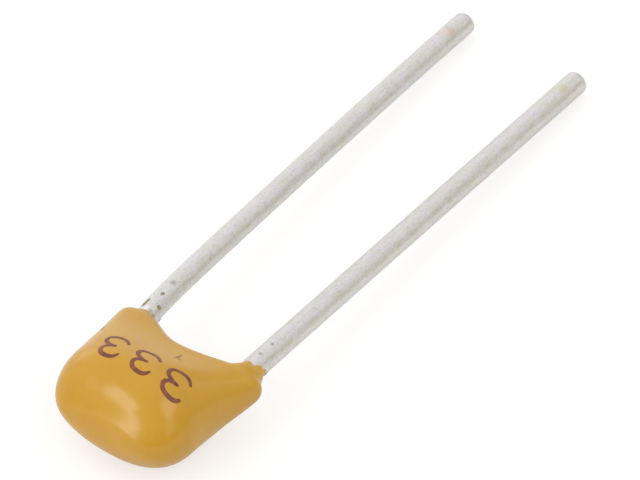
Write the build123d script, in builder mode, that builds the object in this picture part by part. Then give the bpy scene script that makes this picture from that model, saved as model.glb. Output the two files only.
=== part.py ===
"""Radial-leaded ceramic capacitor: a multilayer chip soldered between two wire leads and dipped in epoxy.

It lies on its belly and on the tips of its leads. Lengths are in millimetres, angles in degrees.
"""

import os
from math import atan2, copysign, cos, pi, radians, sin

from build123d import *

# Chip: ceramic block, fired-on end terminations and the electrodes inside
chip_length = 2.0
chip_width = 1.25
chip_thickness = 0.85
ceramic_edge_round = 0.04
termination_thickness = 0.03
termination_band = 0.4
electrode_count = 8
electrode_thickness = 0.01
electrode_end_margin = 0.3
electrode_side_margin = 0.2
electrode_cover = 0.12

# Leads: tinned wire, soldered along the ends of the chip
lead_diameter = 0.5
lead_free_length = 11.1
lead_splay = 0.6
lead_bend_radius = 6.0
lead_tip_round = 0.11
lead_root_inset = 0.25

# Solder: a thin film between wire and termination, with a hollow fillet on either side
solder_film = 0.02
solder_wrap = 0.05
solder_end_margin = 0.08
solder_foot_share = 0.8
solder_waist_share = 0.72

# Coating: thick over the chip, thin at the shoulders where the leads come out
face_wall = 0.745
side_wall = 0.08
end_wall = 0.615
neck_height = 1.28
shoulder_face_wall = 0.15
shoulder_side_wall = 0.275
shoulder_offset = 0.05
left_shoulder_drop = 0.02
right_shoulder_drop = 0.07
meniscus_depth = 0.43
meniscus_offset = -0.1
end_round_height = 1.02
end_round_width_share = 0.48
end_round_thickness_share = 0.91
end_turns = (0, 20, 40, 60, 80)
shoulder_shares = (1.15, 1, 0.75, 0.5, 0.25)
rim_round_share = 0.33
belly_exponent = 2.2
shoulder_exponent = 8
rise_exponent = 2.15
oval_point_count = 24

# Sizes that follow from the ones above
ceramic_length = chip_length - 2 * termination_thickness
ceramic_width = chip_width - 2 * termination_thickness
ceramic_thickness = chip_thickness - 2 * termination_thickness
electrode_length = ceramic_length - electrode_end_margin
electrode_width = ceramic_width - 2 * electrode_side_margin
lead_radius = lead_diameter / 2
lead_pitch = chip_length + 2 * solder_film + lead_diameter
body_width = lead_pitch + lead_diameter + 2 * side_wall
body_thickness = chip_thickness + 2 * face_wall
body_height = neck_height + chip_width + end_wall
shoulder_width = lead_pitch + lead_diameter + 2 * shoulder_side_wall
shoulder_thickness = lead_diameter + 2 * shoulder_face_wall
chip_depth = neck_height + chip_width / 2
lead_root_depth = neck_height + chip_width - lead_root_inset
belly_depth = body_height - end_round_height


def shoulder_section(share):
    """Depth below the seating plane, middle, width, thickness and squareness, from belly (0) to shoulders (1)."""
    blend = share * share * (3 - 2 * share)
    depth = belly_depth * (1 - share)
    width = body_width + (shoulder_width - body_width) * blend
    thickness = body_thickness + (shoulder_thickness - body_thickness) * blend
    exponent = belly_exponent + (shoulder_exponent - belly_exponent) * blend
    return depth, shoulder_offset * blend, width, thickness, exponent


def end_section(turn):
    """The same for the rounded end, by the angle turned round its quarter ellipse."""
    inset = 1 - cos(radians(turn))
    depth = belly_depth + end_round_height * sin(radians(turn))
    width = body_width * (1 - end_round_width_share * inset)
    thickness = body_thickness * (1 - end_round_thickness_share * inset)
    return depth, 0, width, thickness, belly_exponent


def oval_points(middle, width, thickness, exponent):
    """Points of a superellipse, for a closed spline."""
    turns = [2 * pi * step / oval_point_count for step in range(oval_point_count)]
    return [
        (
            middle + copysign(width / 2 * abs(cos(turn)) ** (2 / exponent), cos(turn)),
            copysign(thickness / 2 * abs(sin(turn)) ** (2 / rise_exponent), sin(turn)),
        )
        for turn in turns
    ]


sections = [shoulder_section(share) for share in shoulder_shares]
sections += [end_section(turn) for turn in end_turns]

# Rest pose: the belly and the tips of the leads touch the floor
rest_tilt = max(
    atan2(thickness / 2 - lead_radius, lead_free_length + depth)
    for depth, middle, width, thickness, exponent in sections
)
rise = lead_free_length * sin(rest_tilt) + lead_radius * cos(rest_tilt)
reach = (lead_free_length - body_height) * cos(rest_tilt) / 2

# Lying frame: x across the leads, y along them to their tips, z out of the upper face, from the seating plane
lying = Plane(origin=(0, -reach, rise), x_dir=(1, 0, 0), z_dir=(0, sin(rest_tilt), cos(rest_tilt)))
lead_axis = Axis(lying.origin, lying.y_dir)
sides = {"left": -1, "right": 1}


def across(depth):
    """Plane square to the leads, at a depth below the seating plane, facing the end of the body."""
    return Plane(origin=lying.from_local_coords((0, -depth, 0)), x_dir=lying.x_dir, z_dir=-lying.y_dir)


os.makedirs("parts", exist_ok=True)

# Ceramic block, before its slots
with BuildPart() as ceramic_block:
    with BuildSketch(across(chip_depth - ceramic_width / 2)):
        Rectangle(ceramic_length, ceramic_thickness)
    extrude(amount=ceramic_width)
    fillet(ceramic_block.edges(), ceramic_edge_round)

# Electrodes: plates that reach the left and the right end by turns
electrode_step = (ceramic_thickness - 2 * electrode_cover - electrode_thickness) / (electrode_count - 1)
electrodes = []
for layer in range(electrode_count):
    end_shift = (-1) ** layer * (electrode_length - ceramic_length) / 2
    height = (layer - (electrode_count - 1) / 2) * electrode_step
    with BuildPart() as electrode:
        with BuildSketch(across(chip_depth - electrode_width / 2)):
            with Locations((end_shift, height)):
                Rectangle(electrode_length, electrode_thickness)
        extrude(amount=electrode_width)
    electrodes.append(electrode.part)
    electrode.part.label = f"electrode_{layer + 1}"
    export_step(electrode.part, f"parts/electrode_{layer + 1}.step")

# Ceramic chip: the block with a slot for each electrode, open at the end that the plate reaches
with BuildPart() as ceramic_chip:
    add(ceramic_block.part)
    for plate in electrodes:
        add(plate, mode=Mode.SUBTRACT)
ceramic_chip.part.label = "ceramic_chip"
export_step(ceramic_chip.part, "parts/ceramic_chip.step")

# End terminations: caps fired over the ends of the block
terminations = {}
for side, sign in sides.items():
    with BuildPart() as termination:
        with BuildSketch(across(chip_depth - chip_width / 2)):
            with Locations((sign * (chip_length - termination_band) / 2, 0)):
                Rectangle(termination_band, chip_thickness)
        extrude(amount=chip_width)
        band_edges = termination.faces().sort_by(Axis.X, reverse=sign < 0)[0].edges()
        fillet(termination.edges() - band_edges, ceramic_edge_round + termination_thickness)
        add(ceramic_block.part, mode=Mode.SUBTRACT)
    terminations[side] = termination.part
    termination.part.label = f"termination_{side}"
    export_step(termination.part, f"parts/termination_{side}.step")

# Leads: parallel along the chip, bent apart a little where they leave the coating
spread = lead_free_length * sin(radians(lead_splay))
leads = {}
for side, sign in sides.items():
    bend = sign * lead_pitch / 2
    with BuildPart() as lead:
        with BuildLine(lying) as wire:
            FilletPolyline(
                (bend, -lead_root_depth),
                (bend, 0),
                (bend + sign * spread, lead_free_length * cos(radians(lead_splay))),
                radius=lead_bend_radius,
            )
        with BuildSketch(across(lead_root_depth)):
            with Locations((bend, 0)):
                Circle(lead_radius)
        sweep(path=wire.line)
        fillet(lead.edges().sort_by(lead_axis)[-1], lead_tip_round)
    leads[side] = lead.part
    lead.part.label = f"lead_{side}"
    export_step(lead.part, f"parts/lead_{side}.step")

# Solder: from the end of the chip up to the crown of each wire, and round the wire's root
solder_foot = chip_thickness / 2 * solder_foot_share
solder_waist = solder_foot * solder_waist_share
solder_crown = lead_radius + solder_wrap
solders = {}
for side, sign in sides.items():
    chip_end = sign * chip_length / 2
    wire_line = sign * lead_pitch / 2
    waist_line = (chip_end + wire_line) / 2
    with BuildPart() as solder:
        with BuildSketch(across(neck_height + solder_end_margin)):
            with BuildLine():
                Line((chip_end, -solder_foot), (chip_end, solder_foot))
                ThreePointArc((chip_end, solder_foot), (waist_line, solder_waist), (wire_line, solder_crown))
                Line((wire_line, solder_crown), (wire_line, -solder_crown))
                ThreePointArc((wire_line, -solder_crown), (waist_line, -solder_waist), (chip_end, -solder_foot))
            make_face()
        extrude(amount=chip_width - 2 * solder_end_margin)
        add(leads[side], mode=Mode.SUBTRACT)
    solders[side] = solder.part
    solder.part.label = f"solder_{side}"
    export_step(solder.part, f"parts/solder_{side}.step")

# Coating: the dipped shape, sunk between the leads by its meniscus, with room for everything inside
crown = lead_pitch / 2 + lead_radius
with BuildPart() as epoxy_coating:
    for depth, *section in sections:
        with BuildSketch(across(depth)):
            with BuildLine():
                Spline(*oval_points(*section), periodic=True)
            make_face()
    loft()
    with BuildSketch(lying.offset(-body_thickness)):
        with BuildLine():
            Spline(
                (-crown, -left_shoulder_drop),
                (meniscus_offset, -meniscus_depth),
                (crown, -right_shoulder_drop),
                tangents=((1, 0), (1, 0), (1, 0)),
            )
            Polyline(
                (crown, -right_shoulder_drop),
                (body_width, -right_shoulder_drop),
                (body_width, body_height),
                (-body_width, body_height),
                (-body_width, -left_shoulder_drop),
                (-crown, -left_shoulder_drop),
            )
        make_face()
    extrude(amount=2 * body_thickness, mode=Mode.SUBTRACT)
    rims = epoxy_coating.edges().filter_by_position(lead_axis, -neck_height, neck_height)
    fillet(rims.filter_by(GeomType.LINE, reverse=True), shoulder_thickness * rim_round_share)
    add(ceramic_block.part, mode=Mode.SUBTRACT)
    for side in sides:
        add(terminations[side], mode=Mode.SUBTRACT)
        add(solders[side], mode=Mode.SUBTRACT)
        add(leads[side], mode=Mode.SUBTRACT)
epoxy_coating.part.label = "epoxy_coating"
export_step(epoxy_coating.part, "parts/epoxy_coating.step")
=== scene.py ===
import math

import bmesh
import bpy
from mathutils import Matrix, Quaternion, Vector, noise
from mathutils.bvhtree import BVHTree


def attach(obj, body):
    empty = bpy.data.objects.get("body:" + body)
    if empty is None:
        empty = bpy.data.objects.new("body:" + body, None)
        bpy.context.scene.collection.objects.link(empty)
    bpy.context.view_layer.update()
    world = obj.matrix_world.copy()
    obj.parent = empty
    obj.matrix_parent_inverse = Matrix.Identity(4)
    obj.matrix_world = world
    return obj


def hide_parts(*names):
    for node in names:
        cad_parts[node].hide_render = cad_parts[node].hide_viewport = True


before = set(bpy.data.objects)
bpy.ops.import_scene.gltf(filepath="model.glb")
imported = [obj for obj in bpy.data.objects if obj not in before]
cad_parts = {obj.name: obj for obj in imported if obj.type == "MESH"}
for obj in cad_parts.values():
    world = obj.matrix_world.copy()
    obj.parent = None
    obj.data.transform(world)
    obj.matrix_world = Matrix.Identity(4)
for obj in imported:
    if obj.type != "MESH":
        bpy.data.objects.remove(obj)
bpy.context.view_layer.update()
print("frame:", len(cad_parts), "CAD nodes")

mm = 0.001
weldDistance = 1e-5  # mm

# The part's own axes, in mm: x across the leads, y along them to the tips, z out of the printed face
lying = {"seat": (0, -3.9679, 1.0197), "tilt": 3.9794}
toRow = (
    Matrix.Scale(mm, 4)
    @ Matrix.Translation(lying["seat"])
    @ Matrix.Rotation(math.radians(-lying["tilt"]), 4, "X")
)
fromRow = toRow.inverted()


def linear(hexColour):
    channels = [int(hexColour[i:i + 2], 16) / 255 for i in (1, 3, 5)]
    return [c / 12.92 if c <= 0.04045 else ((c + 0.055) / 1.055) ** 2.4 for c in channels] + [1]


def addNode(tree, kind, inputs=None, **settings):
    node = tree.nodes.new(kind)
    for name, value in settings.items():
        setattr(node, name, value)
    for name, value in (inputs or {}).items():
        if isinstance(value, bpy.types.NodeSocket):
            tree.links.new(value, node.inputs[name])
        else:
            node.inputs[name].default_value = value
    return node


def newMaterial(name):
    material = bpy.data.materials.new(name)
    material.use_nodes = True
    tree = material.node_tree
    tree.nodes.clear()
    # Object coordinates, turned into the part's own axes in mm
    place, turn, size = fromRow.decompose()
    own = addNode(tree, "ShaderNodeMapping", {
        "Vector": addNode(tree, "ShaderNodeTexCoord").outputs["Object"],
        "Location": place, "Rotation": turn.to_euler(), "Scale": size})
    return material, tree, own.outputs["Vector"]


def smoothStep(low, high, value):
    t = min(1, max(0, (value - low) / (high - low)))
    return t * t * (3 - 2 * t)


def wrapGrid(bm, around, along, place):
    # a grid wrapped round a form: place takes the turn and the way along, both 0 to 1
    grid = bmesh.ops.create_grid(bm, x_segments=around, y_segments=along, size=0.5)["verts"]
    for v in grid:
        v.co = place(v.co.x + 0.5, v.co.y + 0.5)
    bmesh.ops.remove_doubles(bm, verts=grid, dist=weldDistance)
    bmesh.ops.recalc_face_normals(bm, faces=bm.faces)


def makePiece(bm, name, material):
    bm.transform(toRow)
    for face in bm.faces:
        face.smooth = True
    mesh = bpy.data.meshes.new(name)
    bm.to_mesh(mesh)
    bm.free()
    mesh.materials.append(material)
    piece = bpy.data.objects.new(name, mesh)
    bpy.context.scene.collection.objects.link(piece)
    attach(piece, "root")
    return piece


# Dipped epoxy: pigmented ochre resin levelled by its own flow, so it has clear soft highlights
# and a faint orange peel
epoxyFinish = {
    "deep": "#cf9a28", "pale": "#d7a333", "toneSize": 0.8, "toneReach": (0.3, 0.7),
    "grainSize": 0.05, "grainShare": 0.25, "peelSize": 0.42, "peelHeight": 0.0016,
    "hazeSize": 0.3, "hazeReach": (0.3, 0.7), "roughness": (0.17, 0.23), "ior": 1.5,
}


def epoxyMaterial():
    f = epoxyFinish
    material, tree, own = newMaterial("dipped_epoxy")
    tone = addNode(tree, "ShaderNodeTexNoise", {"Vector": own, "Scale": 1 / f["toneSize"], "Detail": 3})
    grain = addNode(tree, "ShaderNodeTexNoise", {"Vector": own, "Scale": 1 / f["grainSize"], "Detail": 1})
    cloud = addNode(tree, "ShaderNodeMix", {
        "Factor": f["grainShare"], 2: tone.outputs["Fac"], 3: grain.outputs["Fac"]})
    paler = addNode(tree, "ShaderNodeMapRange", {
        "Value": cloud.outputs[0], "From Min": f["toneReach"][0], "From Max": f["toneReach"][1]})
    colour = addNode(tree, "ShaderNodeMix", {
        "Factor": paler.outputs["Result"], 6: linear(f["deep"]), 7: linear(f["pale"])}, data_type="RGBA")
    haze = addNode(tree, "ShaderNodeTexNoise", {"Vector": own, "Scale": 1 / f["hazeSize"], "Detail": 2})
    rough = addNode(tree, "ShaderNodeMapRange", {
        "Value": haze.outputs["Fac"], "From Min": f["hazeReach"][0], "From Max": f["hazeReach"][1],
        "To Min": f["roughness"][0], "To Max": f["roughness"][1]})
    peel = addNode(tree, "ShaderNodeTexNoise", {"Vector": own, "Scale": 1 / f["peelSize"], "Detail": 1})
    bump = addNode(tree, "ShaderNodeBump", {
        "Height": peel.outputs["Fac"], "Distance": f["peelHeight"] * mm, "Strength": 1})
    shader = addNode(tree, "ShaderNodeBsdfPrincipled", {
        "Base Color": colour.outputs[2], "Roughness": rough.outputs["Result"], "IOR": f["ior"],
        "Normal": bump.outputs["Normal"]})
    addNode(tree, "ShaderNodeOutputMaterial", {"Surface": shader.outputs["BSDF"]})
    return material


# Coating: thick over the chip, thin at the shoulders, sunk between the leads by its meniscus
coating = {
    "width": 3.22, "thickness": 2.336, "bellyDepth": 2.104, "bellyPower": 2.16,
    "endHeight": 1.036, "endPower": 2, "endPowerAbove": 1.58,
    "endWidthShare": 0.471, "endThicknessShare": 0.908,
    "shoulderWidth": 3.592, "shoulderThickness": 0.803, "shoulderShift": 0.051, "shoulderPower": 8,
    "risePower": 2.12, "widthEase": 1.17, "thicknessEase": 0.8, "rimRound": 0.27,
    "waist": 0.042, "waistShare": 0.46, "waistSpread": 0.2,
    "leftEnd": (-1.327, -0.024), "meniscus": (-0.095, -0.438), "rightEnd": (1.611, -0.086),
    "around": 224, "endRings": 28, "bodyRings": 44, "rimRings": 12, "rimSteps": 6, "spacingPower": 2.4,
    "closing": 0.1, "skin": 0.001, "waveSize": 0.9, "waveHeight": 0.005,
    "grain": 0.025, "passes": 24,
}


def coatingSection(depth, above=False):
    # middle, width, thickness and squareness at a depth below the seating plane
    c = coating
    if depth > c["bellyDepth"]:
        rise = min(1, (depth - c["bellyDepth"]) / c["endHeight"])
        widthPower = c["endPower"]
        facePower = c["endPowerAbove"] if above else c["endPower"]
        narrowing = 1 - (1 - rise ** widthPower) ** (1 / widthPower)
        thinning = 1 - (1 - rise ** facePower) ** (1 / facePower)
        return (
            0,
            c["width"] * (1 - c["endWidthShare"] * narrowing),
            c["thickness"] * (1 - c["endThicknessShare"] * thinning),
            c["bellyPower"],
        )
    share = 1 - depth / c["bellyDepth"]
    blend = share * share * (3 - 2 * share)
    flare, thinning = blend ** c["widthEase"], blend ** c["thicknessEase"]
    pinch = c["waist"] * math.exp(-((share - c["waistShare"]) / c["waistSpread"]) ** 2)
    return (
        c["shoulderShift"] * flare,
        c["width"] + (c["shoulderWidth"] - c["width"]) * flare - pinch,
        c["thickness"] + (c["shoulderThickness"] - c["thickness"]) * thinning,
        c["bellyPower"] + (c["shoulderPower"] - c["bellyPower"]) * blend,
    )


def coatingTop(x):
    lowX, lowY = coating["meniscus"]
    endX, endY = coating["leftEnd"] if x < lowX else coating["rightEnd"]
    return lowY + (endY - lowY) * smoothStep(lowX, endX, x)


def coatingRings():
    return coating["endRings"] + coating["bodyRings"] + coating["rimRings"] + 1


def coatingPoint(turn, way):
    c = coating
    angle = 2 * math.pi * turn
    across = math.copysign(abs(math.cos(angle)) ** (2 / c["spacingPower"]), math.cos(angle))
    side = math.copysign(1, math.sin(angle)) if abs(math.sin(angle)) > 1e-6 else 0
    ring = round(way * coatingRings())
    belly, rimStart = c["endRings"], c["endRings"] + c["bodyRings"]
    flat, inset = 1, c["skin"]
    if ring <= belly:  # rounded end, from its closing line to the belly
        quarter = math.radians(90 * (1 - max(0, ring - 1) / (belly - 1)))
        depth = c["bellyDepth"] + c["endHeight"] * math.sin(quarter)
        if ring == 0:
            flat, inset = 0, inset + c["closing"]
    else:  # belly to rim
        climb = min(1, (ring - belly) / c["bodyRings"])
        depth = c["bellyDepth"] * (1 - climb)
        for _ in range(c["rimSteps"]):  # the rim follows the top, which follows the width
            middle, width, thickness, power = coatingSection(depth)
            rim = c["rimRound"] - coatingTop(middle + across * width / 2)
            depth = c["bellyDepth"] * (1 - climb) + rim * climb
        if ring > rimStart:  # rounded rim, then the closing strip
            quarter = math.radians(90 * min(1, (ring - rimStart) / c["rimRings"]))
            depth -= c["rimRound"] * math.sin(quarter)
            inset += c["rimRound"] * (1 - math.cos(quarter))
            if ring == coatingRings():
                flat, inset = 0, inset + c["closing"]
    middle, width, thickness, power = coatingSection(depth, side > 0)
    bulge = max(0, 1 - abs(across) ** power) ** (1 / c["risePower"])
    return Vector((
        middle + across * (width / 2 - inset),
        -depth,
        side * flat * (thickness / 2 - inset) * bulge,
    ))


# Leads: wire bent apart a little where it leaves the coating, and not quite straight
lead = {
    "radius": {"left": 0.24, "right": 0.248}, "pitch": 2.54, "root": 2.28, "free": 11.1, "splay": 0.6,
    "tipRound": 0.11, "tipTurns": (18, 36, 54, 72, 90), "around": 56, "step": 0.06,
    "bow": {"left": (-0.078, 0.02), "right": (0, 0)},
    "bowReach": 0.8, "bowFade": 0.7, "bowFadePower": 4,
    "lumpSize": (0.11, 0.3), "lump": 0.006,
}


def leadCentre(side, along):
    # along is measured from the seating plane
    sign = -1 if side == "left" else 1
    turn = math.radians(lead["splay"])
    beyond = max(0, along)
    fade = lead["bowFade"] * (beyond / lead["free"]) ** lead["bowFadePower"]
    arch = (1 - math.exp(-beyond / lead["bowReach"])) * (1 - fade)
    bowX, bowZ = lead["bow"][side]
    return Vector((
        sign * (lead["pitch"] / 2 + beyond * math.sin(turn)) + bowX * arch,
        along * (math.cos(turn) if along > 0 else 1),
        bowZ * arch,
    ))


def leadPoint(side, along, angle, radius):
    return leadCentre(side, along) + Vector((math.cos(angle), 0, math.sin(angle))) * radius


# Tinned copper: hot-dipped tin over drawn wire, so it is pale satin grey, lumpy and streaked,
# with cloudy tints
tinFinish = {
    "beige": "#e3e0d8", "lilac": "#e9e4e8", "dull": "#afaa9f",
    "cloudSize": 0.17, "cloudStretch": 1.25, "cloudReach": (0.38, 0.62),
    "fleckSize": 0.05, "fleckReach": (0.52, 0.78), "fleckDepth": 0.4,
    "streakWidth": 0.045, "streakLength": 0.8, "streakHeight": 0.0014,
    "streakReach": (0.5, 0.75), "streakDepth": 0.2,
    "lumpWidth": 0.06, "lumpLength": 0.09, "lumpHeight": 0.009,
    "roughReach": (0.3, 0.7), "roughness": (0.34, 0.5),
    # stains and painted glints: side, mm along, degrees round, mm across, colour; full within mm across /
    # stainAndGlintCore
    "stainsAndGlints": [
        # the two white spots at the left root are painted highlights, a glint where the wire leaves the
        # coat; the rest are stains
        ("left", 0.03, 98, 0.14, "#ffffff"), ("left", 0.09, 94, 0.12, "#ffffff"),
        ("left", 0.97, 83, 0.22, "#b9b6b2"), ("left", 0.04, 66, 0.17, "#c2b698"),
        ("left", 0.01, 42, 0.18, "#b9ad8c"), ("left", -0.02, 16, 0.17, "#9f9475"),
        ("left", 10.43, 72, 0.36, "#d9cab5"), ("left", 10.33, 88, 0.3, "#e9dad7"),
        ("right", 10.5, 76, 0.38, "#dad5b9"), ("right", 0.79, 87, 0.12, "#a3a2a3"),
        ("right", 0.42, 91, 0.12, "#a9a8a4"),
    ],
    "stainAndGlintStrength": 0.85, "stainAndGlintCore": 12,
}


def tinMaterial():
    f = tinFinish
    material, tree, own = newMaterial("tinned_copper")
    stretched = addNode(tree, "ShaderNodeMapping", {"Vector": own, "Scale": (1, 1 / f["cloudStretch"], 1)})
    cloud = addNode(tree, "ShaderNodeTexNoise", {
        "Vector": stretched.outputs["Vector"], "Scale": 1 / f["cloudSize"], "Detail": 3})
    drawn = addNode(tree, "ShaderNodeMapping", {
        "Vector": own, "Scale": (1 / f["streakWidth"], 1 / f["streakLength"], 1 / f["streakWidth"])})
    streak = addNode(tree, "ShaderNodeTexNoise", {
        "Vector": drawn.outputs["Vector"], "Scale": 1, "Detail": 3})
    dipped = addNode(tree, "ShaderNodeMapping", {
        "Vector": own, "Scale": (1 / f["lumpWidth"], 1 / f["lumpLength"], 1 / f["lumpWidth"])})
    lumps = addNode(tree, "ShaderNodeTexNoise", {
        "Vector": dipped.outputs["Vector"], "Scale": 1, "Detail": 2})
    tint = addNode(tree, "ShaderNodeMapRange", {
        "Value": cloud.outputs["Fac"], "From Min": f["cloudReach"][0], "From Max": f["cloudReach"][1]})
    colour = addNode(tree, "ShaderNodeMix", {
        "Factor": tint.outputs["Result"], 6: linear(f["beige"]), 7: linear(f["lilac"])}, data_type="RGBA")
    dark = addNode(tree, "ShaderNodeMapRange", {
        "Value": streak.outputs["Fac"], "From Min": f["streakReach"][0], "From Max": f["streakReach"][1],
        "To Max": f["streakDepth"]})
    colour = addNode(tree, "ShaderNodeMix", {
        "Factor": dark.outputs["Result"], 6: colour.outputs[2], 7: linear(f["dull"])}, data_type="RGBA")
    flecks = addNode(tree, "ShaderNodeTexNoise", {"Vector": own, "Scale": 1 / f["fleckSize"], "Detail": 1})
    speckled = addNode(tree, "ShaderNodeMapRange", {
        "Value": flecks.outputs["Fac"], "From Min": f["fleckReach"][0], "From Max": f["fleckReach"][1],
        "To Max": f["fleckDepth"]})
    colour = addNode(tree, "ShaderNodeMix", {
        "Factor": speckled.outputs["Result"], 6: colour.outputs[2], 7: linear(f["dull"])}, data_type="RGBA")
    # stains, and two white spots painted as a glint at the left root
    for side, along, degrees, size, spotColour in f["stainsAndGlints"]:
        spot = leadPoint(side, along, math.radians(degrees), lead["radius"][side])
        away = addNode(tree, "ShaderNodeVectorMath", {0: own, 1: spot}, operation="DISTANCE")
        mask = addNode(tree, "ShaderNodeMapRange", {
            "Value": away.outputs["Value"], "From Min": size / 2, "From Max": size / f["stainAndGlintCore"],
            "To Max": f["stainAndGlintStrength"]}, interpolation_type="SMOOTHSTEP")
        colour = addNode(tree, "ShaderNodeMix", {
            "Factor": mask.outputs["Result"], 6: colour.outputs[2], 7: linear(spotColour)}, data_type="RGBA")
    rough = addNode(tree, "ShaderNodeMapRange", {
        "Value": cloud.outputs["Fac"], "From Min": f["roughReach"][0], "From Max": f["roughReach"][1],
        "To Min": f["roughness"][0], "To Max": f["roughness"][1]})
    lines = addNode(tree, "ShaderNodeBump", {
        "Height": streak.outputs["Fac"], "Distance": f["streakHeight"] * mm, "Strength": 1})
    bump = addNode(tree, "ShaderNodeBump", {
        "Height": lumps.outputs["Fac"], "Distance": f["lumpHeight"] * mm, "Strength": 1,
        "Normal": lines.outputs["Normal"]})
    shader = addNode(tree, "ShaderNodeBsdfPrincipled", {
        "Base Color": colour.outputs[2], "Roughness": rough.outputs["Result"], "Metallic": 1,
        "Normal": bump.outputs["Normal"]})
    addNode(tree, "ShaderNodeOutputMaterial", {"Surface": shader.outputs["BSDF"]})
    return material


def makeLead(side):
    k = lead
    wire = k["radius"][side]
    straight = k["root"] + k["free"] - k["tipRound"]
    rings = round(straight / k["step"])
    stations = [(-k["root"], 0)]
    stations += [(-k["root"] + straight * i / rings, wire) for i in range(rings + 1)]
    for degrees in k["tipTurns"]:
        quarter = math.radians(degrees)
        stations.append((
            k["free"] - k["tipRound"] * (1 - math.sin(quarter)),
            wire - k["tipRound"] * (1 - math.cos(quarter)),
        ))
    stations.append((k["free"], 0))
    lumpAcross, lumpAlong = k["lumpSize"]

    def place(turn, way):
        along, radius = stations[round(way * (len(stations) - 1))]
        angle = 2 * math.pi * turn
        if radius:  # the lumps of the dipped tin, always inwards
            x, y, z = leadPoint(side, along, angle, radius)
            lump = noise.noise(Vector((x / lumpAcross, y / lumpAlong, z / lumpAcross)))
            radius -= k["lump"] * (0.5 + 0.5 * lump)
        return leadPoint(side, along, angle, radius)

    bm = bmesh.new()
    wrapGrid(bm, k["around"], len(stations) - 1, place)
    piece = makePiece(bm, "wire_" + side, tin)
    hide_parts("lead_" + side)
    return piece


tin = tinMaterial()
leadPieces = {side: makeLead(side) for side in ("left", "right")}
print("leads:", [len(piece.data.polygons) for piece in leadPieces.values()], "faces")

# Drops and specks: a ball made ragged by noise, shifted by its place so that no two are alike
blobShape = {"subdivisions": 3, "noiseScale": 1.3, "noiseShift": 7}


def addBlob(bm, spot, normal, length, width, height, ragged):
    # lies on a surface; length is along the leads
    k = blobShape
    blob = bmesh.ops.create_icosphere(bm, subdivisions=k["subdivisions"], radius=1)["verts"]
    for v in blob:
        v.co *= 1 + ragged * noise.noise(v.co * k["noiseScale"] + spot * k["noiseShift"])
    across = Vector((0, 1, 0)).cross(normal).normalized()
    axes = Matrix((across * width, normal.cross(across) * length, normal * height)).transposed()
    bmesh.ops.transform(bm, matrix=Matrix.Translation(spot) @ axes.to_4x4(), verts=blob)


def melt(bm, grain, passes):
    # overlapping closed shells run together into one smooth skin, in voxels of grain mm
    mesh = bpy.data.meshes.new("melt")
    bm.to_mesh(mesh)
    bm.free()
    holder = bpy.data.objects.new("melt", mesh)
    bpy.context.scene.collection.objects.link(holder)
    skin = holder.modifiers.new("skin", "REMESH")
    skin.mode = "VOXEL"
    skin.voxel_size = grain
    ease = holder.modifiers.new("ease", "SMOOTH")
    ease.factor = 0.5
    ease.iterations = passes
    bpy.context.view_layer.update()
    melted = bmesh.new()
    melted.from_object(holder, bpy.context.evaluated_depsgraph_get())
    bpy.data.objects.remove(holder)
    return melted


# Collars: resin that wetted the wires and climbed them unevenly; bumps are degrees round, spread
# and mm of climb, drops are mm along, degrees round, half length, half width and height
collar = {
    "around": 72, "rings": 12, "base": -0.32, "ripple": 0.012, "rippleScale": 2, "tuck": 0.03,
    "climbEase": 0.8, "swellPower": 4, "dropSink": 0.01, "dropRagged": 0.2,
    "left": {
        "height": -0.06, "wall": 0.03, "flare": 0.08, "seed": 3,
        "bumps": [(80, 32, 0.07), (200, 30, 0.03)],
        "drops": []},
    "right": {
        "height": -0.06, "wall": 0.05, "flare": 0.145, "seed": 7,
        "bumps": [(92, 24, 0.08), (20, 36, 0.21), (155, 45, -0.22)],
        "drops": [
            (-0.04, 90, 0.15, 0.12, 0.1), (0.06, 38, 0.17, 0.12, 0.085), (0.14, 6, 0.18, 0.11, 0.05)]},
}


def addCollar(bm, side):
    k, own, wire = collar, collar[side], lead["radius"][side]

    def place(turn, way):
        angle = 2 * math.pi * turn
        around = Vector((math.cos(angle), math.sin(angle), own["seed"]))
        height = own["height"] + k["ripple"] * noise.noise(around * k["rippleScale"])
        for middle, spread, lift in own["bumps"]:
            away = (math.degrees(angle) - middle + 180) % 360 - 180
            height += lift * math.exp(-(away / spread) ** 2)
        up = min(1, way * (k["rings"] + 1) / k["rings"])
        along = k["base"] + (height - k["base"]) * math.sin(math.pi / 2 * up) ** k["climbEase"]
        swell = own["wall"] * math.sqrt(max(0, 1 - up ** k["swellPower"]))
        radius = wire + swell + own["flare"] * (1 - up)
        if round(way * (k["rings"] + 1)) > k["rings"]:  # the last ring closes inside the wire
            radius = wire - k["tuck"]
        return leadPoint(side, along, angle, radius)

    wrapGrid(bm, k["around"], k["rings"] + 1, place)
    bmesh.ops.holes_fill(bm, edges=bm.edges)
    for along, degrees, length, width, height in own["drops"]:
        angle = math.radians(degrees)
        spot = leadPoint(side, along, angle, wire - k["dropSink"])
        outwards = Vector((math.cos(angle), 0, math.sin(angle)))
        addBlob(bm, spot, outwards, length, width, height, k["dropRagged"])


def makeCoating():
    c = coating
    bm = bmesh.new()
    wrapGrid(bm, c["around"], coatingRings(), coatingPoint)
    for v in bm.verts:  # the slow unevenness of a dipped coat, always inwards
        v.co -= v.normal * c["waveHeight"] * (0.5 + 0.5 * noise.noise(v.co / c["waveSize"]))
    for side in lead["radius"]:
        addCollar(bm, side)
    piece = makePiece(melt(bm, c["grain"], c["passes"]), "coating", epoxy)
    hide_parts("epoxy_coating")
    return piece


epoxy = epoxyMaterial()
coatingPiece = makeCoating()
print("coating:", len(coatingPiece.data.polygons), "faces, collars included")

# Marking ink: stamped brown, thin enough for the coat to show through in places
inkFinish = {
    "full": "#743a2a", "faint": "#96583a", "patchSize": 0.12, "patchReach": (0.35, 0.7),
    "roughness": 0.4, "ior": 1.48,
}

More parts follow.
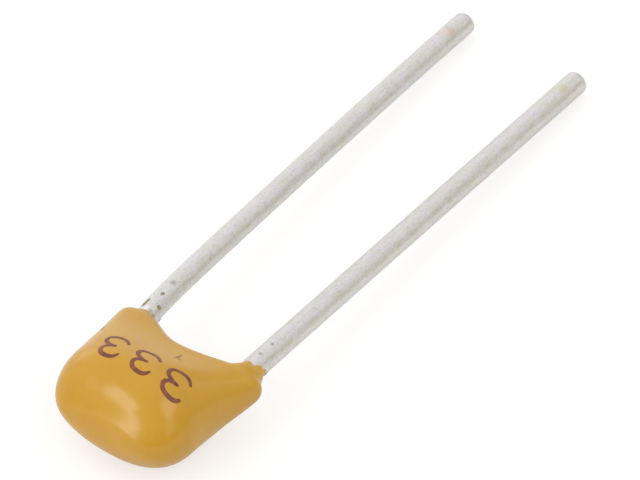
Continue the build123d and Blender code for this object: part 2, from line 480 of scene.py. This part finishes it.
# Print: a plain three-digit value code across the sloping face, and a stray tick of ink
inkPrint = {
    "places": [(0.905, -1.95), (0.13, -1.93), (-0.66, -1.91)], "width": 0.49, "height": 0.66, "lean": -0.1,
    "stroke": 0.046, "flatten": 0.07, "lift": 0.0015, "endShare": 0.55, "laidFrom": 3,
    "digit": [
        (0.02, 0.80), (0.12, 0.97), (0.50, 1.03), (0.90, 0.95), (0.92, 0.66), (0.55, 0.52), (0.38, 0.52),
        (0.62, 0.53), (1.02, 0.40), (1.02, 0.08), (0.55, -0.04), (0.15, 0.0), (0.0, 0.18)],
    "tick": [
        [(0.335, -1.25), (0.40, -1.12), (0.335, -0.99)],
        [(0.37, -1.19), (0.44, -1.18), (0.49, -1.21)]],
    "tickStroke": 0.017,
}


def inkMaterial():
    f = inkFinish
    material, tree, own = newMaterial("marking_ink")
    patch = addNode(tree, "ShaderNodeTexNoise", {"Vector": own, "Scale": 1 / f["patchSize"], "Detail": 2})
    thin = addNode(tree, "ShaderNodeMapRange", {
        "Value": patch.outputs["Fac"], "From Min": f["patchReach"][0], "From Max": f["patchReach"][1]})
    colour = addNode(tree, "ShaderNodeMix", {
        "Factor": thin.outputs["Result"], 6: linear(f["full"]), 7: linear(f["faint"])}, data_type="RGBA")
    shader = addNode(tree, "ShaderNodeBsdfPrincipled", {
        "Base Color": colour.outputs[2], "Roughness": f["roughness"], "IOR": f["ior"]})
    addNode(tree, "ShaderNodeOutputMaterial", {"Surface": shader.outputs["BSDF"]})
    return material


def coatingSurface():
    # the finished coat in the part's own mm, for laying things on it
    bm = bmesh.new()
    bm.from_object(coatingPiece, bpy.context.evaluated_depsgraph_get())
    bm.transform(fromRow)
    tree = BVHTree.FromBMesh(bm)
    bm.free()
    return tree


def strokeMesh(points, radius):
    # a smooth stroke in the print's plane, as a tube with slim ends
    curve = bpy.data.curves.new("stroke", "CURVE")
    curve.dimensions = "3D"
    spline = curve.splines.new("NURBS")
    spline.points.add(len(points) - 1)
    for i, (x, y) in enumerate(points):
        spline.points[i].co = (x, y, 0, 1)
        spline.points[i].radius = inkPrint["endShare"] if i in (0, len(points) - 1) else 1
    spline.order_u = 3
    spline.use_endpoint_u = True
    spline.resolution_u = 8
    curve.bevel_depth = radius
    curve.bevel_resolution = 3
    curve.use_fill_caps = True
    holder = bpy.data.objects.new("stroke", curve)
    bpy.context.scene.collection.objects.link(holder)
    bpy.context.view_layer.update()
    mesh = bpy.data.meshes.new_from_object(holder.evaluated_get(bpy.context.evaluated_depsgraph_get()))
    bpy.data.objects.remove(holder)
    return mesh


def makePrint():
    k = inkPrint
    strokes = [(points, k["tickStroke"]) for points in k["tick"]]
    for middleX, middleY in k["places"]:
        # the digits stand with their feet towards the leads
        points = [(
            middleX - (u - 0.5) * k["width"] - (v - 0.5) * k["lean"],
            middleY - (v - 0.5) * k["height"],
        ) for u, v in k["digit"]]
        strokes.append((points, k["stroke"]))
    bm = bmesh.new()
    for points, radius in strokes:
        bm.from_mesh(strokeMesh(points, radius))
    bmesh.ops.remove_doubles(bm, verts=bm.verts, dist=weldDistance)
    for v in bm.verts:  # laid on the coat
        above = Vector((v.co.x, v.co.y, k["laidFrom"]))
        spot, normal, _, _ = surface.ray_cast(above, Vector((0, 0, -1)))
        v.co = spot + normal * (v.co.z * k["flatten"] + k["lift"])
    bmesh.ops.recalc_face_normals(bm, faces=bm.faces)
    return makePiece(bm, "print", inkMaterial())


surface = coatingSurface()
printPiece = makePrint()
print("print:", len(printPiece.data.polygons), "faces")

# Burnt resin: thin brown specks that the dip left behind, and painted shade: two thin dark lines along the
# wires' lower edges where they meet the coat
speckAndShadeFinish = {
    "dark": "#8b7e56", "pale": "#aea37c", "patchSize": 0.04, "patchReach": (0.4, 0.65),
    "roughness": 0.35, "ior": 1.5,
}

# Specks: on the wires' roots (side, mm along, degrees round, half length and half width) and on
# the coat's left flank (place, half length and half width); the two at -29 and -27 degrees are painted
# shade
specksAndShade = {
    "onWireWithShade": [
        ("left", 0.58, 81, 0.05, 0.034), ("left", 0.27, 47, 0.05, 0.05), ("left", 0.24, 120, 0.16, 0.03),
        # painted shade: thin dark lines low on both wires where they meet the coat
        ("left", 0.16, -29, 0.12, 0.016), ("right", 0.3, -27, 0.13, 0.016)],
    "onCoat": [((-1.435, -1.232, 0.57), 0.07, 0.022)],
    "height": 0.012, "sink": 0.004, "ragged": 0.35,
}


def speckAndShadeMaterial():
    f = speckAndShadeFinish
    material, tree, own = newMaterial("burnt_resin_and_shade")
    patch = addNode(tree, "ShaderNodeTexNoise", {"Vector": own, "Scale": 1 / f["patchSize"], "Detail": 2})
    thin = addNode(tree, "ShaderNodeMapRange", {
        "Value": patch.outputs["Fac"], "From Min": f["patchReach"][0], "From Max": f["patchReach"][1]})
    colour = addNode(tree, "ShaderNodeMix", {
        "Factor": thin.outputs["Result"], 6: linear(f["dark"]), 7: linear(f["pale"])}, data_type="RGBA")
    shader = addNode(tree, "ShaderNodeBsdfPrincipled", {
        "Base Color": colour.outputs[2], "Roughness": f["roughness"], "IOR": f["ior"]})
    addNode(tree, "ShaderNodeOutputMaterial", {"Surface": shader.outputs["BSDF"]})
    return material


def makeSpecksAndShade():
    k = specksAndShade
    spots = []
    for side, along, degrees, length, width in k["onWireWithShade"]:
        angle = math.radians(degrees)
        spot = leadPoint(side, along, angle, lead["radius"][side] - k["sink"])
        spots.append((spot, Vector((math.cos(angle), 0, math.sin(angle))), length, width))
    for near, length, width in k["onCoat"]:
        spot, normal, _, _ = surface.find_nearest(Vector(near))
        spots.append((spot, normal, length, width))
    bm = bmesh.new()
    for spot, normal, length, width in spots:
        addBlob(bm, spot, normal, length, width, k["height"], k["ragged"])
    bmesh.ops.recalc_face_normals(bm, faces=bm.faces)
    return makePiece(bm, "specksAndShade", speckAndShadeMaterial())


speckAndShadePiece = makeSpecksAndShade()
print("specks:", len(speckAndShadePiece.data.polygons), "faces")

# What the coat hides: fired ceramic, plated end caps, solder and printed plates, each with its own grain
innerFinishes = {
    "fired_ceramic": {
        "dark": "#a58f76", "pale": "#bda88e", "grain": 0.06, "metallic": 0, "roughness": 0.6,
        "nodes": ["ceramic_chip"]},
    "plated_end_cap": {
        "dark": "#b4b1ab", "pale": "#d2cfc9", "grain": 0.05, "metallic": 1, "roughness": 0.5,
        "nodes": ["termination_left", "termination_right"]},
    "tin_solder": {
        "dark": "#a7a8a8", "pale": "#c9c9c7", "grain": 0.09, "metallic": 1, "roughness": 0.3,
        "nodes": ["solder_left", "solder_right"]},
    "nickel_plate": {
        "dark": "#a29c90", "pale": "#bcb6aa", "grain": 0.03, "metallic": 1, "roughness": 0.45,
        "nodes": ["electrode_%d" % number for number in range(1, 9)]},
}
innerGrain = {"reach": (0.35, 0.65), "height": 0.002}


def dressInside():
    for name, f in innerFinishes.items():
        material, tree, own = newMaterial(name)
        grain = addNode(tree, "ShaderNodeTexNoise", {"Vector": own, "Scale": 1 / f["grain"], "Detail": 3})
        share = addNode(tree, "ShaderNodeMapRange", {
            "Value": grain.outputs["Fac"],
            "From Min": innerGrain["reach"][0], "From Max": innerGrain["reach"][1]})
        colour = addNode(tree, "ShaderNodeMix", {
            "Factor": share.outputs["Result"],
            6: linear(f["dark"]), 7: linear(f["pale"])}, data_type="RGBA")
        bump = addNode(tree, "ShaderNodeBump", {
            "Height": grain.outputs["Fac"], "Distance": innerGrain["height"] * mm, "Strength": 1})
        shader = addNode(tree, "ShaderNodeBsdfPrincipled", {
            "Base Color": colour.outputs[2], "Roughness": f["roughness"], "Metallic": f["metallic"],
            "Normal": bump.outputs["Normal"]})
        addNode(tree, "ShaderNodeOutputMaterial", {"Surface": shader.outputs["BSDF"]})
        for node in f["nodes"]:
            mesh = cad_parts[node].data
            mesh.materials.clear()
            mesh.materials.append(material)


dressInside()
print("inside:", sum(len(f["nodes"]) for f in innerFinishes.values()), "nodes dressed")

# Stage: a white card in a room that is brightest at the back, on the left, and a little warm on its
# dim side; seen, the card is washed out by its own glow
stageSettings = {
    "card": 4.0, "cardColour": "#e7e7e7", "cardSeen": "#b3b3b3", "seenGlow": 0.64, "mirrorGlow": 0.15,
    "brightSide": (-0.6, 0.54, 0.55), "room": (0.22, 0.98),
    "white": "#ffffff", "dimTint": "#fffadb", "tintReach": (-0.4, 0.4),
    "darkSide": (-0.085, 0.974, 0.208), "darkReach": (0.93, 0.99), "darkShare": 0.5,
}


def makeStage():
    s = stageSettings
    bm = bmesh.new()
    bmesh.ops.create_grid(bm, x_segments=1, y_segments=1, size=s["card"])
    mesh = bpy.data.meshes.new("floor")
    bm.to_mesh(mesh)
    bm.free()
    floor = bpy.data.objects.new("floor", mesh)
    bpy.context.scene.collection.objects.link(floor)
    material, tree, _ = newMaterial("white_card")
    path = addNode(tree, "ShaderNodeLightPath").outputs
    mirrored = addNode(tree, "ShaderNodeMath", {
        0: path["Is Glossy Ray"], 1: path["Is Transmission Ray"]}, operation="ADD")
    mirrored = addNode(tree, "ShaderNodeMath", {
        0: mirrored.outputs[0], 1: s["mirrorGlow"]}, operation="MULTIPLY")
    glow = addNode(tree, "ShaderNodeMath", {
        0: path["Is Camera Ray"], 1: s["seenGlow"], 2: mirrored.outputs[0]}, operation="MULTIPLY_ADD")
    shade = addNode(tree, "ShaderNodeMix", {
        "Factor": path["Is Camera Ray"],
        6: linear(s["cardColour"]), 7: linear(s["cardSeen"])}, data_type="RGBA")
    card = addNode(tree, "ShaderNodeBsdfDiffuse", {"Color": shade.outputs[2]})
    light = addNode(tree, "ShaderNodeEmission", {"Color": linear(s["white"]), "Strength": glow.outputs[0]})
    both = addNode(tree, "ShaderNodeAddShader", {0: card.outputs[0], 1: light.outputs[0]})
    addNode(tree, "ShaderNodeOutputMaterial", {"Surface": both.outputs[0]})
    mesh.materials.append(material)

    world = bpy.data.worlds.new("room")
    bpy.context.scene.world = world
    world.use_nodes = True
    tree = world.node_tree
    tree.nodes.clear()
    towards = addNode(tree, "ShaderNodeTexCoord").outputs["Generated"]
    lit = addNode(tree, "ShaderNodeVectorMath", {
        0: towards, 1: Vector(s["brightSide"]).normalized()}, operation="DOT_PRODUCT")
    level = addNode(tree, "ShaderNodeMapRange", {
        "Value": lit.outputs["Value"], "From Min": -1, "From Max": 1,
        "To Min": s["room"][0], "To Max": s["room"][1]})
    neutral = addNode(tree, "ShaderNodeMapRange", {
        "Value": lit.outputs["Value"], "From Min": s["tintReach"][0], "From Max": s["tintReach"][1]})
    tint = addNode(tree, "ShaderNodeMix", {
        "Factor": neutral.outputs["Result"],
        6: linear(s["dimTint"]), 7: linear(s["white"])}, data_type="RGBA")
    dim = addNode(tree, "ShaderNodeVectorMath", {
        0: towards, 1: Vector(s["darkSide"]).normalized()}, operation="DOT_PRODUCT")
    share = addNode(tree, "ShaderNodeMapRange", {
        "Value": dim.outputs["Value"], "From Min": s["darkReach"][0], "From Max": s["darkReach"][1],
        "To Min": 1, "To Max": s["darkShare"]}, interpolation_type="SMOOTHSTEP")
    level = addNode(tree, "ShaderNodeMath", {
        0: level.outputs["Result"], 1: share.outputs["Result"]}, operation="MULTIPLY")
    back = addNode(tree, "ShaderNodeBackground", {"Color": tint.outputs[2], "Strength": level.outputs[0]})
    addNode(tree, "ShaderNodeOutputWorld", {"Surface": back.outputs[0]})


def fromSide(azimuth, elevation):
    # azimuth 0 is in front, on -Y, and 90 is on +X
    a, e = math.radians(azimuth), math.radians(elevation)
    return Vector((math.sin(a) * math.cos(e), -math.cos(a) * math.cos(e), math.sin(e)))


# Lamps: azimuth, elevation, turn, width and height in degrees as the object sees them, and radiance
lamps = {
    "window": (-23.5, 39, 0, 20, 16, 3.4),
    "windowFoot": (-11, 25, 0, 12, 14, 3.2),
    "windowTail": (-15, 9, -17, 8, 20, 4.5),
    "leftBand": (-48, 31, -28, 18, 6, 1.1),
    "leftPanel": (-106, 12, 0, 20, 26, 0.7),
    "rightPanel": (78, 57, 0, 32, 20, 1.8),
    "rightBand": (66, 33, 0, 20, 32, 0.85),
}
lampDistance = 0.3


def addLamps():
    for name, (azimuth, elevation, turn, width, height, radiance) in lamps.items():
        data = bpy.data.lights.new(name, "AREA")
        data.shape = "RECTANGLE"
        data.size = 2 * lampDistance * math.tan(math.radians(width / 2))
        data.size_y = 2 * lampDistance * math.tan(math.radians(height / 2))
        data.energy = radiance * math.pi * data.size * data.size_y
        lamp = bpy.data.objects.new(name, data)
        bpy.context.scene.collection.objects.link(lamp)
        towards = fromSide(azimuth, elevation)
        lamp.location = towards * lampDistance
        aimed = towards.to_track_quat("Z", "Y") @ Quaternion((0, 0, 1), math.radians(turn))
        lamp.rotation_euler = aimed.to_euler()


# Camera: a long lens, so that the leads stay nearly parallel; aim is mm right and up in the picture
view = {
    "azimuth": 36.5, "elevation": 46.7, "lens": 1150, "sensor": 36, "distance": 410.5,
    "aim": (0.1085, 0.492), "clip": (0.01, 10),
}


def makeCamera():
    back = fromSide(view["azimuth"], view["elevation"])
    turned = (-back).to_track_quat("-Z", "Y")
    data = bpy.data.cameras.new("camera")
    data.lens = view["lens"]
    data.sensor_width = view["sensor"]
    data.clip_start, data.clip_end = view["clip"]
    camera = bpy.data.objects.new("camera", data)
    bpy.context.scene.collection.objects.link(camera)
    right, up = view["aim"]
    camera.location = turned @ Vector((right * mm, up * mm, 0)) + back * view["distance"] * mm
    camera.rotation_euler = turned.to_euler()
    bpy.context.scene.camera = camera


makeStage()
addLamps()
makeCamera()
bpy.context.scene.view_settings.view_transform = "Standard"
print("stage:", len(lamps), "lamps")
